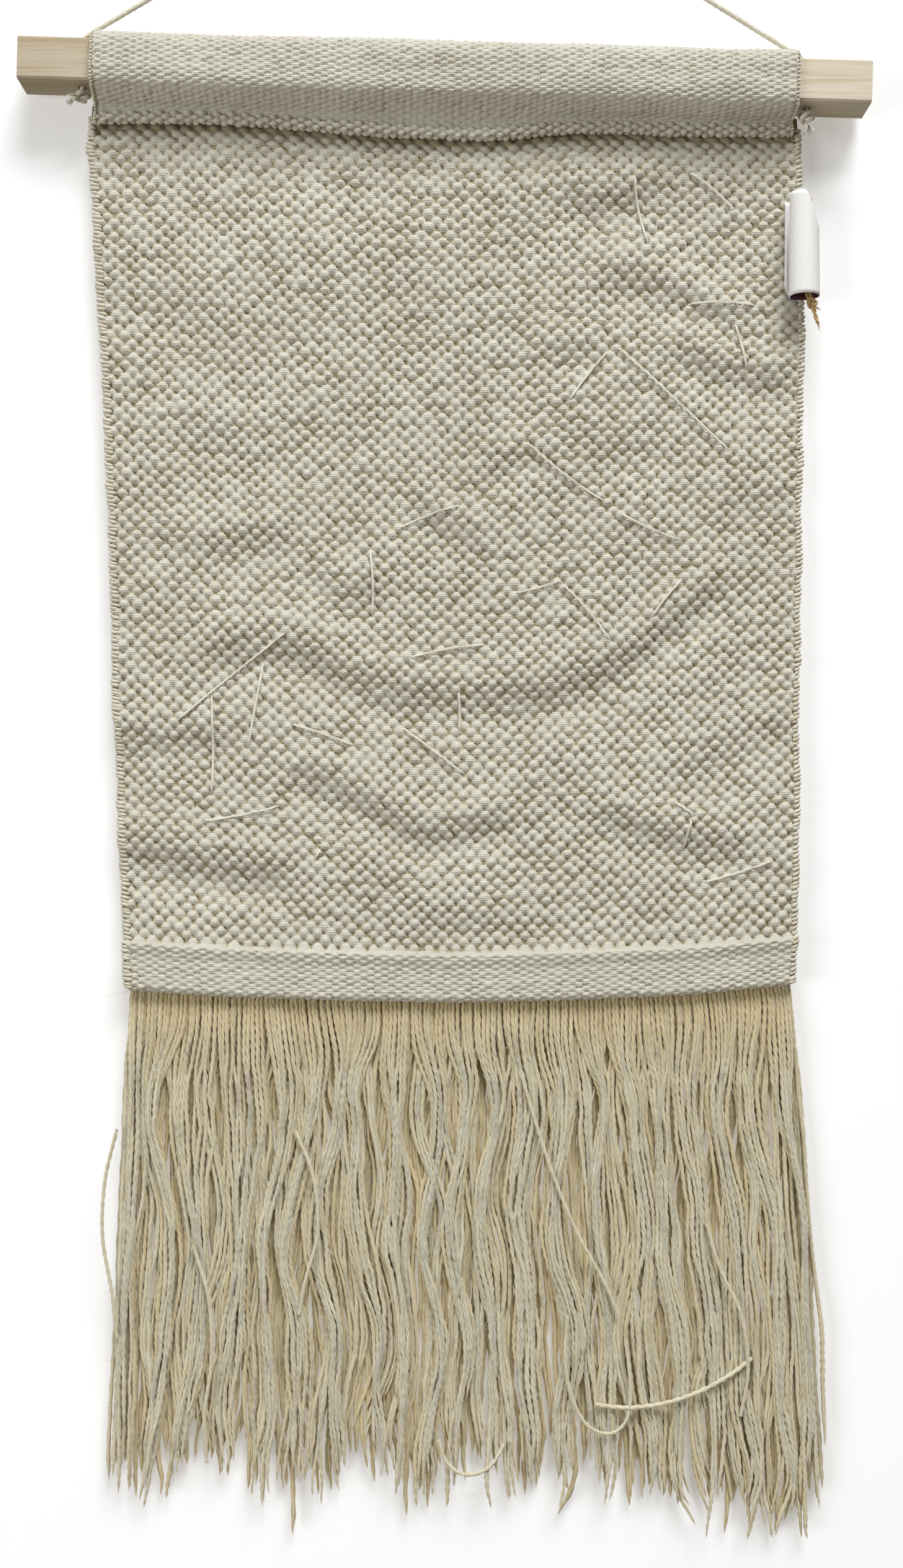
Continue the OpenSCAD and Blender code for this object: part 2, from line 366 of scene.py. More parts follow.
def wood_material():
    """Planed pine: pale, with long grain along the batten and fine pores, and painted shade that darkens it
    towards its left end.
    """
    m = Nodes("pine", 0.55, specular=0.35)
    long = m.cloud(60, 5, (0.05, 1.0, 1.0), 0.6, TILT)
    bands = m.cloud(22, 3, (0.035, 1.0, 1.3), 0.5, TILT)
    pores = m.cloud(700, 3, (0.03, 1.0, 1.0), 0.6, TILT)
    base = m.ramp(bands, [(0.25, linear(205, 195, 174)), (0.5, linear(212, 203, 185)),
                          (0.75, linear(215, 208, 193))])
    grain = m.ramp(long, [(0.34, linear(240, 231, 212)), (0.54, linear(255, 255, 255))])
    fine = m.ramp(pores, [(0.36, linear(238, 231, 216)), (0.55, linear(255, 255, 255))])
    # Painted shade: the colour darkens towards the batten's left end, where less light falls.
    ends = m.new("ShaderNodeSeparateXYZ")
    m.join(m.new("ShaderNodeTexCoord").outputs["Object"], ends.inputs[0])
    left_shade = m.ramp(m.maths("MULTIPLY_ADD", ends.outputs[0], 2.5), [
        (0.05, linear(226, 222, 214)), (0.5, linear(255, 255, 255))])
    base = m.mix(1.0, base, left_shade, "MULTIPLY")
    m.colour(m.mix(1.0, m.mix(0.75, base, m.mix(1.0, base, grain, "MULTIPLY")), fine, "MULTIPLY"))
    first = m.bump(long, 0.0002, 0.4)
    m.bump(pores, 0.00012, 0.5, first)
    return m.material


def card_material(name, inside=False):
    """Stiff white card with a faint tooth. Its inner face carries a dark printed wash."""
    m = Nodes(name, 0.6, specular=0.3)
    tooth = m.cloud(900, 3)
    if inside:
        across = m.new("ShaderNodeSeparateXYZ")
        m.join(m.new("ShaderNodeTexCoord").outputs["Object"], across.inputs[0])
        share = m.maths("MULTIPLY", m.maths("SUBTRACT", across.outputs[0], 0.1535), 85.0, True)
        wash = m.ramp(share, [(0.0, linear(26, 24, 52)), (0.45, linear(70, 18, 30)),
                              (1.0, linear(96, 52, 30))])
        m.colour(m.mix(m.maths("MULTIPLY", tooth, 0.3), wash, linear(60, 40, 44)))
    else:
        m.colour(m.ramp(tooth, [(0.3, linear(232, 232, 232)), (0.7, linear(241, 241, 241))]))
    m.bump(tooth, 0.00008, 0.4)
    return m.material


CLOTH = cloth_material("woven_cotton")
# The wool's dark colour is painted shade, mixed in deep in the fringe's hanks, round the yarns' backs,
# between plies and under the hem.
WOOL = yarn_material("wool_yarn", linear(216, 211, 190), linear(210, 191, 138), sheen=0.5, soft=0.4)
CORD = yarn_material("cotton_cord", linear(226, 223, 212), linear(190, 182, 160), 0.9)
THREAD = yarn_material("white_thread", linear(236, 235, 228), linear(205, 200, 186), 0.7, 0.5)
SELVEDGE = yarn_material("selvedge_yarn", linear(222, 219, 206), linear(150, 122, 80), 0.95, 0.7)
# Painted light: the knots' cotton is whiter than the cord's, so that the knots stay bright in the batten's
# shade.
COTTON_ENDS = yarn_material("cotton_ends", linear(246, 245, 240), linear(196, 190, 172), 0.85, sheen=0.4)
JUTE = yarn_material("jute", linear(196, 166, 118), linear(120, 84, 48), 0.9, 0.8)
TAPE = yarn_material("tape_cotton", linear(214, 206, 184), linear(170, 150, 112), 0.95, 1.0)
PINE = wood_material()
CARD = card_material("tag_card")
PRINT = card_material("tag_print", inside=True)


# ---------------------------------------------------------------- camera, light and stage

def aim(ob, target):
    ob.rotation_euler = (Vector(target) - ob.location).to_track_quat("-Z", "Y").to_euler()


def make_camera():
    held = bpy.data.cameras.new("camera")
    held.sensor_width = 36
    held.lens = 36.98
    camera = bpy.data.objects.new("camera", held)
    camera.location = (0.00785, -0.694, -0.4104)
    camera.rotation_euler = (math.radians(90), 0, 0)
    bpy.context.scene.collection.objects.link(camera)
    bpy.context.scene.camera = camera


def make_light(name, place, target, size, power):
    held = bpy.data.lights.new(name, "AREA")
    held.shape = "RECTANGLE"
    held.size, held.size_y = size
    held.energy = power
    lamp = bpy.data.objects.new(name, held)
    lamp.location = place
    bpy.context.scene.collection.objects.link(lamp)
    aim(lamp, target)


def make_stage():
    """A white wall just behind the hanging and a pale floor below it. The wall shows only from
    the front and casts no shade, so that the hanging can be seen and lit from behind."""
    m = Nodes("wall", 0.9, specular=0.0)
    m.colour((0.85, 0.86, 0.87, 1))
    m.shader.inputs["Emission Color"].default_value = (1, 1, 1, 1)
    m.shader.inputs["Emission Strength"].default_value = 0.23
    clear = m.new("ShaderNodeBsdfTransparent")
    pick = m.new("ShaderNodeMixShader")
    m.join(m.new("ShaderNodeNewGeometry").outputs["Backfacing"], pick.inputs[0])
    m.join(m.shader.outputs[0], pick.inputs[1])
    m.join(clear.outputs[0], pick.inputs[2])
    m.join(pick.outputs[0], m.tree.nodes["Material Output"].inputs["Surface"])
    wall = make_mesh("wall", [[-2500, WALL_Y, FLOOR_Z], [2500, WALL_Y, FLOOR_Z],
                              [2500, WALL_Y, 1800], [-2500, WALL_Y, 1800]], [[0, 1, 2, 3]], m.material)
    wall.visible_shadow = wall.visible_diffuse = wall.visible_glossy = False
    n = Nodes("floor", 0.9, specular=0.1)
    n.colour((0.85, 0.85, 0.84, 1))
    floor = make_mesh("floor", [[-3000, -4000, FLOOR_Z], [3000, -4000, FLOOR_Z],
                                [3000, 3000, FLOOR_Z], [-3000, 3000, FLOOR_Z]], [[0, 1, 2, 3]], n.material)
    floor.visible_diffuse = False


def make_sky():
    """Soft light from all round, warmer and dimmer from below."""
    world = bpy.context.scene.world or bpy.data.worlds.new("world")
    bpy.context.scene.world = world
    world.use_nodes = True
    sky = world.node_tree
    toward = sky.nodes.new("ShaderNodeSeparateXYZ")
    sky.links.new(sky.nodes.new("ShaderNodeTexCoord").outputs["Generated"], toward.inputs[0])
    blend = sky.nodes.new("ShaderNodeValToRGB")
    blend.color_ramp.elements[0].color = (0.66, 0.57, 0.46, 1)
    blend.color_ramp.elements[1].position = 0.35
    sky.links.new(toward.outputs[2], blend.inputs[0])
    sky.links.new(blend.outputs[0], sky.nodes["Background"].inputs[0])
    sky.nodes["Background"].inputs[1].default_value = 0.34


make_camera()
make_stage()
make_light("key", (0.75, -1.75, 2.65), (0.0, 0, -0.4), (1.8, 1.4), 134)
make_light("fill", (-1.9, -1.6, -0.75), (0.0, 0, -0.42), (1.3, 1.3), 31)
make_light("back", (0.4, 1.8, 0.6), (0.0, 0, -0.4), (1.6, 1.2), 16)
make_sky()
bpy.context.scene.view_settings.view_transform = "Standard"


# ---------------------------------------------------------------- hanging cord and its knots

CORD_D = 2.3
CORD_ROUTE = [
    (-151, -113), (-151, -108), (-150.9, -102), (-150.8, -96), (-150.7, -92), (-150, -89.7),
    (-148.4, -87.7), (-136, -80.3), (-102, -60.1), (-68, -39.9), (-34, -19.7), (-8, -4.2),
    (-4, -1.1), (-2, 0.5), (0, 1.15), (2, 0.5), (4, -1.1), (8, -3.7), (38, -22.5), (72, -43.7),
    (106, -64.9), (140, -86.1), (158.3, -97.5), (160.2, -99.2), (161.1, -101.6), (161.1, -106),
    (160.9, -112), (160.8, -118), (160.7, -122),
]


def make_knot(name, side, tail):
    """An overhand knot pulled into a ball, with the cord's cut end frayed out of it."""
    rng = np.random.default_rng(31 + side)
    centre = on_batten(side * 156, 0, -12.8)
    t = np.linspace(0, 2 * math.pi, 121)
    ring = 1.75 + 1.05 * np.cos(3 * t)
    ball = np.stack([ring * np.cos(2 * t), ring * np.sin(2 * t), 1.25 * np.sin(3 * t)], -1)
    made = Pieces()
    made.add(tube(ball + centre, 1.12, 10, 3, 2.6, 0.12, across=(0.3, 0.2, 1)), 0.1)
    tail = np.array(tail, float) / np.linalg.norm(tail)
    a = np.cross(tail, [0, 1, 0.3])
    a /= np.linalg.norm(a)
    b = np.cross(tail, a)
    start = centre + tail * 2.2
    for k in range(30):
        turn, spread = rng.uniform(0, 2 * math.pi), rng.uniform(0.1, 1.0) ** 0.6
        out = a * math.cos(turn) + b * math.sin(turn)
        length = rng.uniform(5.0, 8.2)
        s = np.linspace(0, 1, 9)[:, None]
        droop = np.array([0, 0, -1.2]) * s**2 * rng.uniform(0, 1)
        curl = out * (0.55 * spread + 2.6 * spread * s**2) + droop
        path = start + tail * s * length * (1 - 0.2 * spread) + curl
        thick = np.linspace(0.42, 0.16, 9) * rng.uniform(0.8, 1.2)
        thick[-1] = 0.03
        made.add(tube(path, thick, 6, across=out), rng.uniform(0, 0.35))
    knot = made.build(name, COTTON_ENDS)
    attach(knot, "batten")
    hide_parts(name.replace("tied", "cord"))
    return knot


def make_cord():
    route = through([(x, 0, z) for x, z in CORD_ROUTE], 1.25)
    made = Pieces()
    made.add(tube(route, CORD_D / 2, 12, 3, 3.0, 0.1), 0.0)
    cord = made.build("twisted_cord", CORD)
    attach(cord, "batten")
    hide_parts("hanging_cord")
    knots = [make_knot("tied_knot_left", -1, (-0.54, -0.75, -0.35)),
             make_knot("tied_knot_right", 1, (0.05, -0.45, -0.89))]


make_cord()
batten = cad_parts["batten"]
batten.data.materials.clear()
batten.data.materials.append(PINE)


# ---------------------------------------------------------------- the weave

class Weave:
    """Height of plain-woven cloth above its base. Column and row pitch are in millimetres. A
    weft bump stands wherever column plus row is even, and a hole with the warp at its foot
    is left wherever it is odd."""

    def __init__(self, column, row, wide, tall, height, seed, uneven):
        self.column, self.row = column, row
        self.wide, self.tall, self.height = wide, tall, height
        rng = np.random.default_rng(seed)
        self.tops = 1 + rng.uniform(-0.3, 0.3, (256, 512)) * uneven
        self.sizes = 1 + rng.uniform(-0.17, 0.17, (256, 512)) * uneven
        slubs = rng.uniform(0, 1, (256, 512)) < 0.035
        self.tops[slubs] *= 1.25
        self.sizes[slubs] *= 1.12
        self.shift_u = rng.uniform(-0.14, 0.14, (256, 512)) * uneven
        self.shift_v = rng.uniform(-0.15, 0.15, (256, 512)) * uneven
        self.seed = seed

    def at(self, across, down):
        """Height in millimetres and depth from 0 on a bump to 1 in a hole. across is in columns
        and down is in rows."""
        best = np.full(across.shape, -0.6 * self.height)
        reach = int(math.ceil(self.tall * 1.2))
        i0, j0 = np.floor(across).astype(int), np.floor(down).astype(int)
        for di in (-1, 0, 1, 2):
            for dj in range(-reach, reach + 2):
                i, j = i0 + di, j0 + dj
                on = (i + j) % 2 == 0
                a, b = i % 256, j % 512
                thick = 1 + 0.14 * noise(i / 6.0, j * 7.3, self.seed + 5)
                x = (across - i - self.shift_u[a, b]) / (self.wide * self.sizes[a, b])
                y = (down - j - self.shift_v[a, b]) / (self.tall * self.sizes[a, b] * thick)
                inside = np.clip(1 - x * x - y * y, 0, 1)
                top = self.height * self.tops[a, b] * thick * (inside**0.62 + 0.12 * inside - 0.15)
                best = np.where(on & (inside > 0), np.maximum(best, top), best)
        column = across - np.round(across)
        strand = np.sqrt(np.clip(1 - (np.abs(np.abs(column) - 0.17) / 0.17) ** 2, 0, 1))
        top = np.maximum(best, self.height * (-0.42 + 0.3 * strand))
        deep = np.clip(1 - (top / self.height + 0.25) / 0.8, 0, 1)
        return top, deep


PANEL_WEAVE = Weave(3.07, 2.93, 0.79, 0.67, 1.4, 11, 0.8)
FINE_WEAVE = Weave(3.0, 1.45, 0.64, 1.06, 0.85, 23, 0.55)
RIDGE_WEAVE = Weave(3.05, 2.05, 0.62, 0.85, 1.4, 29, 0.6)

CLOTH_Y = 5.0
PANEL_TOP = -122
PANEL_FOOT = -480
# Where the cloth bends between the pocket and the panel
BEND_START, BEND_END = on_batten(0, CLOTH_Y, -21.5), on_batten(0, CLOTH_Y, -40)
# The cloth's side edges by height, as it hangs
EDGE_Z = [-500, -480, -440, -380, -320, -265, -215, -170, -140, -120]
EDGE_LEFT = [-132.6, -133.2, -135.5, -137.8, -139.4, -141.2, -144.6, -146.8, -149.0, -147.4]
EDGE_RIGHT = [155.4, 156.4, 157.0, 157.8, 158.6, 158.8, 159.4, 159.2, 158.4, 157.4]
# The pocket's ridge and the hem's lower fold sag unevenly from side to side
RIDGE = through([(-152, -123.1), (-118, -123.1), (-75, -124.4), (-32, -127.7), (11, -130.0),
                 (32, -129.6), (54, -127.9), (86, -127.4), (118, -128.4), (162, -128.5)], 1)
FOLD = through([(-136, -499.2), (-80, -502.6), (12, -504.6), (100, -502.0), (140, -498.6),
                (162, -496.6)], 1)


def along(x, line):
    return np.interp(x, line[:, 0], line[:, 1])


def side_edges(z):
    left = np.interp(z, EDGE_Z, EDGE_LEFT) + 0.7 * noise(z / 23, 3.5, 61)
    right = np.interp(z, EDGE_Z, EDGE_RIGHT) + 0.7 * noise(z / 21, 8.5, 62)
    return left, right


# Soft folds in the hanging cloth: how deep and wide each is, and the line it follows
FOLDS = [
    (1.7, 9, [(58, -154), (72, -158), (98, -150)]), (1.4, 8, [(78, -190), (104, -197), (134, -213)]),
    (1.8, 8, [(108, -224), (126, -230), (150, -236)]), (1.2, 8, [(50, -222), (66, -221)]),
    (0.8, 10, [(-138, -200), (-98, -202)]), (1.0, 8, [(-122, -303), (-98, -307), (-66, -303)]),
    (1.3, 8, [(-52, -318), (-38, -328), (-24, -326)]), (1.4, 8, [(-4, -290), (6, -300), (18, -303)]),
    (1.0, 7, [(28, -272), (44, -267)]), (0.9, 9, [(70, -266), (96, -264)]),
    (1.9, 9, [(-94, -352), (-62, -352), (-22, -370), (26, -373), (66, -366), (98, -345), (122, -326)]),
    (1.4, 8, [(-136, -391), (-92, -390)]), (1.9, 8, [(-56, -406), (-32, -416), (-4, -431), (30, -426)]),
    (2.0, 9, [(-132, -438), (-104, -445), (-66, -449)]), (1.7, 8, [(72, -424), (98, -431), (130, -438)]),
    (1.1, 12, [(132, -285), (152, -285)]), (0.9, 11, [(104, -405), (148, -386)]),
    (0.8, 9, [(-110, -254), (-70, -262)]), (0.7, 8, [(-4, -468), (30, -470)]),
]
FOLDS = [(depth, wide, through(line, 0.4)) for depth, wide, line in FOLDS]


def swell(x, z):
    """How far the hanging cloth waves towards the wall, off its flat plane."""
    x, z = np.broadcast_arrays(np.asarray(x, float), np.asarray(z, float))
    a, b = x * 0.94 + z * 0.34, z * 0.94 - x * 0.34
    wave = 0.9 * noise(a / 64, b / 52, 71) + 0.6 * noise(a / 27, b / 23, 72)
    for depth, wide, line in FOLDS:
        below = (z - along(x, line)) / wide
        ends = smooth((x - line[0, 0] + 14) / 20) * smooth((line[-1, 0] + 14 - x) / 20)
        wave = wave - depth * ends * below * np.exp(0.5 - below * below / 2)
    calm = smooth((-z - 128) / 26) * smooth((z + 492) / 22)
    return np.clip(wave, -3.0, 3.0) * (0.15 + 0.85 * calm)


def across_columns(width, step):
    """Shares of the width, close together at the two edges, where the cloth rounds over."""
    close = np.array([0, 0.15, 0.5, 1.0, 1.6]) / width
    middle = np.linspace(2.2 / width, 1 - 2.2 / width, int((width - 4.4) / step))
    return np.concatenate([close, middle, 1 - close[::-1]])


def rim_round(inset, reach):
    return np.sqrt(np.clip(1 - (1 - np.clip(inset / reach, 0, 1)) ** 2, 0, 1))


def panel_height(x, z0):
    """The height at which a level z0 of the flat cloth hangs, at each place across it."""
    top, fold = along(x, RIDGE) + 7, along(x, FOLD)
    z = top + (fold - top) * (z0 - PANEL_TOP) / (-502.1 - PANEL_TOP)
    return z + 0.8 * noise(x / 50, z0 / 34, 81) * smooth((-z0 - 140) / 30) * smooth((z0 + 478) / 20)


def panel_grid(stations, shares, back):
    """One face of the panel. Each station is (level, depth, outward y, outward z, share of the
    coarse weave, its row, fine row)."""
    z0, flat_y, ny, nz, coarse, row_c, row_f = (stations[:, k][:, None] for k in range(7))
    left, right = side_edges(z0)
    x = left + (right - left) * shares[None]
    z = panel_height(x, z0)
    columns = (x - 10) / ((right - left) / 97)
    across = columns + 0.25 * noise(x / 40, z0 / 45, 82)
    down = row_c + 0.22 * noise(x / 34, z0 / 30, 83)
    h_c, d_c = PANEL_WEAVE.at(across, down)
    h_f, d_f = FINE_WEAVE.at(x / FINE_WEAVE.column, row_f + 0.3 * noise(x / 26, z0 / 9, 84))
    h = h_c * coarse + h_f * (1 - coarse)
    deep = d_c * coarse + 0.75 * d_f * (1 - coarse)
    inset = np.minimum(shares, 1 - shares)[None] * (right - left)
    h = h * (0.15 + 0.85 * smooth(inset / 2.0)) * (0.55 if back else 1.0)
    y = flat_y + swell(x, z)
    if not back:
        y = y + 1.4 * (1 - smooth((along(x, RIDGE) - z - 1) / 9)) * (z0 > -160)
        # Painted shade: the cloth just under the pocket's ridge is darkened, as the crease's shadow.
        deep = np.maximum(deep, 0.9 * (1 - smooth((along(x, RIDGE) - z - 3.4) / 2.4)))
    middle = CLOTH_Y + swell(x, z) + np.where(z0 < -478, -0.9, 0)
    y = middle + (y - middle) * rim_round(inset, 1.6)
    points = np.stack([x, y + ny * h, z + nz * h], -1).reshape(-1, 3)
    places = np.stack([x, -z0 - 2.0 * flat_y + 0 * x], -1).reshape(-1, 2)
    return (points, grid_quads(len(stations), len(shares)), places), deep.ravel()


PANEL_ROWS = 122


def front_stations():
    """The panel's section from behind the ridge, down its front and round the hem's fold."""
    out = []
    per_row = 4
    for k in range(PANEL_ROWS * per_row + 1):
        level = PANEL_TOP - k * (PANEL_TOP - PANEL_FOOT) / (PANEL_ROWS * per_row)
        out.append((level, 4.1, -1, 0, 1, k / per_row, 0))
    for k in range(1, 9):
        t = k / 8
        out.append((PANEL_FOOT - 2.4 * t, 4.1 - 3.3 * smooth(t * 1.1), -1, 0.35 * math.sin(math.pi * t),
                    1 - smooth(t), PANEL_ROWS + t * 0.8, 1.7 * t))
    for k in range(1, 57):
        t = k / 56
        out.append((-482.4 - 17.1 * t, 0.8 + 1.0 * smooth(t * 3), -1, 0, 0, 0, 1.7 + 17.1 * t / 1.45))
    for k in range(1, 23):
        a = math.pi * k / 22
        out.append((-499.5 - 2.4 * math.sin(a), 4.3 - 2.5 * math.cos(a), -math.cos(a), -math.sin(a),
                    0, 0, 13.5 + k * 0.26))
    return np.array(out, float)


def back_stations():
    out = []
    for k in range(16):
        out.append((-499.3 + k * 1.27, 6.8, 1, 0, 0, 0, 19 + k * 0.9))
    for k in range(PANEL_ROWS * 2 + 1):
        out.append((-479.5 + k * 357 / (PANEL_ROWS * 2), 6.0, 1, 0, 1, PANEL_ROWS - k / 2 + 1, 0))
    return np.array(out, float)


def selvedge_loops(made, edges, thick, outward, seed):
    """The weft's turns at a selvedge: small slanted loops that lie on the cloth's front, go round
    its edge and end behind. Each edge is its (x, z), the two faces' depths there and a reach."""
    rng = np.random.default_rng(seed)
    for x, z, front, back, reach in edges:
        middle = (front + back) / 2
        inset = rng.uniform(2.3, 3.2) if outward < 0 else rng.uniform(1.5, 1.9)
        turn = [(-inset, front + 0.5), (-inset + 0.9, front - 0.35), (-0.9, front - 0.3),
                (reach * 0.75, front + 0.35), (reach, middle), (reach * 0.6, back - 0.2), (-0.8, back + 0.3)]
        path = through([(x + outward * a, d, z) for a, d in turn], 1.7)
        t = np.linspace(0, 1, len(path))
        path[:, 2] += (t - 0.4) * rng.uniform(0.8, 2.6) + rng.uniform(-0.3, 0.3)
        r = thick * rng.uniform(0.8, 1.2) * np.sqrt(np.clip(1.02 - (2 * t - 1) ** 8, 0.02, 1))
        made.add(tube(path, r, 7, across=(0, 0, 1)), rng.uniform(0, 0.1))


def make_panel():
    made = Pieces()
    front, back = front_stations(), back_stations()
    fine, wide = across_columns(297, 0.77), across_columns(297, 1.6)
    a = made.add_grid(*panel_grid(front, fine, False), len(front), len(fine))
    b = made.add_grid(*panel_grid(back, wide, True), len(back), len(wide), True)
    made.close(a["left"], b["left"][::-1])
    made.close(a["right"], b["right"][::-1])
    made.close(a["first"], b["last"])
    made.close(a["last"], b["first"])
    panel = made.build("woven_panel", CLOTH)
    loops = Pieces()
    for outward, step, thick in ((-1, 1.75, 0.8), (1, 1.95, 0.85)):
        edges = []
        for z0 in np.arange(-128, -501, -step):
            left, right = side_edges(z0)
            x = float(left if outward < 0 else right)
            z = float(panel_height(np.array(x), z0))
            middle = CLOTH_Y + float(swell(x, z)) + (-0.9 if z0 < PANEL_FOOT else 0.0)
            front_at = middle - (1.35 if z0 > PANEL_FOOT else 2.6)
            reach = 0.55 + 0.45 * float(noise(z0 / 4.4, outward, 90))
            edges.append((x, z, front_at, middle + 1.2, reach))
        selvedge_loops(loops, edges, thick, outward, 91 + outward)
    selvedge = loops.build("panel_selvedges", SELVEDGE)
    for piece in (panel, selvedge):
        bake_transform(piece)
    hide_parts("panel", "hem")


def pocket_section(drop):
    """The pocket's outline from under the ridge, up its front, over the batten and down behind,
    as [depth, height] in the batten's frame, for a ridge that far below the batten."""
    ridge = [(0.7 + 2.3 * math.cos(math.radians(a)), -drop + 2.3 * math.sin(math.radians(a)))
             for a in range(-40, -236, -28)]
    low = -drop + 2.3
    gap = -12.7 - low
    under = [(-0.5, low + 0.22 * gap), (-1.1, low + 0.5 * gap), (-3.4, low + 0.86 * gap), (-6.8, -12.9),
             (-9.4, -12.3), (-11.2, -10.8)]
    over = [(-12.1, -8.4), (-12.4, -5), (-12.3, 0), (-12.0, 6), (-11.3, 9.6), (-9.4, 11.7), (-6.0, 12.4),
            (0, 12.4), (7.0, 12.3), (10.4, 11.8), (12.0, 9.8), (12.3, 5), (12.3, -2), (12.0, -9.6),
            (10.2, -13.6), (8.4, -17.0), (7.7, -19.5), (7.3, -23), (6.0, -24.2)]
    return through(ridge + under + over, 6.0)


def evenly(path, shares):
    run = run_along(path)
    return np.stack([np.interp(shares * run[-1], run, path[:, k]) for k in (0, 1)], -1)


def outward_of(path):
    ahead = np.gradient(path, axis=0)
    ahead /= np.linalg.norm(ahead, axis=-1)[..., None] + 1e-9
    return -ahead[..., 1], ahead[..., 0]


def pocket_path(u, shares):
    """The section at each place u along the batten, one row for each share of its length."""
    x = u + 5
    drop = -(along(x, RIDGE) + 106 + u * math.tan(TILT))
    share = ((drop - 17) / 8)[None, :, None]
    return (evenly(pocket_section(17), shares)[:, None] * (1 - share)
            + evenly(pocket_section(25), shares)[:, None] * share)


def make_pocket():
    half, length = 150.4, 118.0
    front = np.linspace(0, 76, 240)
    shares = np.concatenate([front, np.linspace(76.8, length, 52)]) / length
    run = shares[:, None] * length
    columns = across_columns(2 * half, 0.7)
    u = -half + 2 * half * columns
    path = pocket_path(u, shares)
    out_y, out_w = outward_of(path)
    # the ridge is a rolled edge of the coarser cloth, so its bumps are larger
    ridge = 1 - smooth((run - 8.6) / 1.4)
    h_c, d_c = RIDGE_WEAVE.at(u[None] / RIDGE_WEAVE.column + 0.1 * noise(run / 5, u[None] / 30, 41),
                              run / RIDGE_WEAVE.row + 0 * u[None])
    h_f, d_f = FINE_WEAVE.at(u[None] / FINE_WEAVE.column + 0.2 * noise(u[None] / 37, run / 25, 42),
                             run / FINE_WEAVE.row + 0.4 * noise(u[None] / 33, run / 19, 46))
    pressed = 1 - 0.3 * smooth((run - 8) / 2) * (1 - smooth((run - 13) / 3))
    h = h_c * ridge + h_f * (1 - ridge) * pressed
    deep = d_c * ridge + 0.75 * d_f * (1 - ridge)
    inset = np.minimum(columns, 1 - columns)[None] * 2 * half
    h = h * (0.15 + 0.85 * smooth(inset / 2.0))
    loose = 0.55 * noise(u[None] / 55, run / 16, 43) + 0.3 * noise(u[None] / 20, run / 9, 44)
    lift = h + loose - 0.6 - 1.2 * (1 - rim_round(inset, 1.6))
    wave = 0.4 * noise(run / 9, np.sign(u[None]) * 9.5, 45) * (1 - smooth(inset / 20))
    points = on_batten(u[None] + wave, path[..., 0] + out_y * lift, path[..., 1] + out_w * lift)
    places = np.stack([u[None] + 0 * run, run + 0 * u[None]], -1).reshape(-1, 2)
    made = Pieces()
    a = made.add_grid((points.reshape(-1, 3), grid_quads(len(shares), len(u)), places), deep.ravel(),
                      len(shares), len(u))
    # the lining is the same section, a cloth's thickness further in
    inner_run = np.linspace(0, length, 90)
    iu = np.concatenate([[-half], np.linspace(-half + 1, half - 1, 60), [half]])
    inner = pocket_path(iu, inner_run / length)
    in_y, in_w = outward_of(inner)
    edge = half - np.abs(iu)[None]
    thin = 2.2 * smooth((inner_run - 8) / 4) * smooth((length - inner_run - 2) / 4)
    thin = thin[:, None] * np.ones(len(iu)) + 0.7
    thin = np.where(edge < 0.5, np.minimum(thin, 1.9), thin)
    lined = on_batten(iu[None] + 0 * thin, inner[..., 0] - in_y * thin, inner[..., 1] - in_w * thin)
    flat = np.stack([iu[None] + 0 * thin, inner_run[:, None] + 0 * thin], -1).reshape(-1, 2)
    rows, across = len(inner_run), len(iu)
    b = made.add_grid((lined.reshape(-1, 3), grid_quads(rows, across), flat), 0.3, rows, across, True)
    for rim in ("left", "right", "first", "last"):
        made.close(a[rim], b[rim])
    pocket = made.build("woven_pocket", CLOTH)
    loops = Pieces()
    rng = np.random.default_rng(47)
    t = np.linspace(0, 1, 9)
    wrap = math.pi * (t - 0.5)
    for outward, column in ((-1, 0), (1, len(u) - 1)):
        for k in range(8, len(shares) - 8, 5 if outward < 0 else 6):
            out = outward * (np.cos(wrap) * 1.1 * rng.uniform(0.8, 1.2) - 1.0)
            lift = (-1.25 + np.sin(-wrap) * 1.4) * (0.5 if run[k, 0] < 9 else 1.0)
            slant = (t - 0.5) * rng.uniform(0.5, 1.8)
            n_y, n_w = out_y[k, column], out_w[k, column]
            y = path[k, column, 0] + n_y * lift + n_w * slant
            w = path[k, column, 1] + n_w * lift - n_y * slant
            r = 0.6 * np.sqrt(np.clip(1.02 - (2 * t - 1) ** 8, 0.02, 1))
            loops.add(tube(on_batten(outward * half + wave[k, column] + out, y, w), r, 7,
                           across=(0, n_w, -n_y)), rng.uniform(0, 0.12))
    selvedge = loops.build("pocket_selvedges", SELVEDGE)
    for piece in (pocket, selvedge):
        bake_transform(piece)
    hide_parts("pocket_front", "pocket_top", "pocket_back", "pocket_turn_under")


make_panel()
make_pocket()


# ---------------------------------------------------------------- threads, tape and stitches

ACCENTS = [
    (90, -162, 31, -78), (121, -154, 27, -40), (125, -203, 29, -2), (133, -221, 21, -76),
    (104, -244, 68, -43), (67, -234, 28, 52), (58, -276, 41, -37), (94, -299, 30, -24),
    (-2, -295, 29, 20), (-27, -323, 29, -88), (45, -325, 22, 15), (66, -336, 33, -50),
    (101, -330, 22, 51), (-87, -364, 61, 39), (-77, -376, 38, 80), (6, -353, 33, 10),
    (11, -379, 18, -89), (-48, -389, 29, -19), (0, -396, 34, -37), (-96, -393, 44, 90),
    (-83, -423, 34, 11), (-50, -441, 6, 60), (109, -421, 12, -33), (110, -432, 14, 76),
    (132, -448, 32, 18),
]


